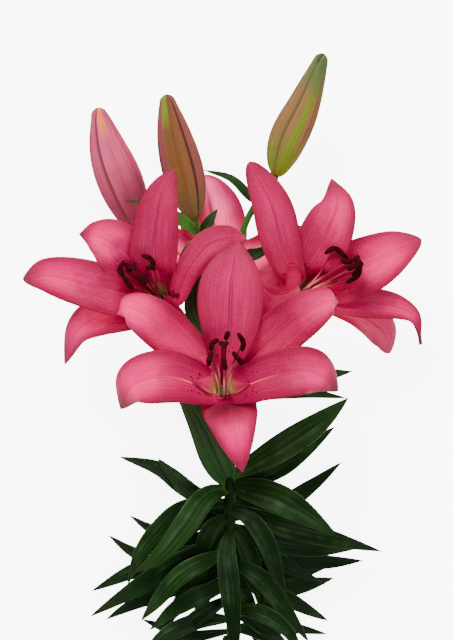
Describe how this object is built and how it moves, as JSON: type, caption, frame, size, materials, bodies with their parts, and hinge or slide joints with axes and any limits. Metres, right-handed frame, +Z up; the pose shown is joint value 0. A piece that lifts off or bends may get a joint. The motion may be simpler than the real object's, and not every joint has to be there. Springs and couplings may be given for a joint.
{
  "type": "cut lily",
  "caption": "Cut stem of a pink hybrid lily with a leafy length, open blooms facing out at its head and closed buds above them, lying on its side.",
  "frame": {"origin": "centre of the bounding box at the surface that the stem lies on", "axes": "+Y along the stem from its cut end to its head, +Z up from the surface, the way the front bloom faces, +X to the right of someone who looks down on it with the head away from them"},
  "size_m": [0.3015, 0.601, 0.1415],
  "materials": {
    "leaf": "dark green, satin, living leaf and stem",
    "tepal": "rose pink, matt, living petal",
    "stamen": "maroon brown, dull, anther and filament",
    "pistil": "crimson, satin, style and stigma",
    "bud_left": "mauve pink, satin",
    "bud_centre": "olive bronze, satin",
    "bud_right": "tan olive with a lime rib, satin"
  },
  "bodies": {
    "root": {"leafy_stem": "leaf", "bloom_front_tepals": "tepal", "bloom_front_stamens": "stamen", "bloom_front_pistil": "pistil", "bloom_left_tepals": "tepal", "bloom_left_stamens": "stamen", "bloom_left_pistil": "pistil", "bloom_right_tepals": "tepal", "bloom_right_stamens": "stamen", "bloom_right_pistil": "pistil", "bloom_back_tepals": "tepal", "bloom_back_stamens": "stamen", "bloom_back_pistil": "pistil", "bud_left": "bud_left", "bud_centre": "bud_centre", "bud_right": "bud_right"}
  },
  "joints": []
}
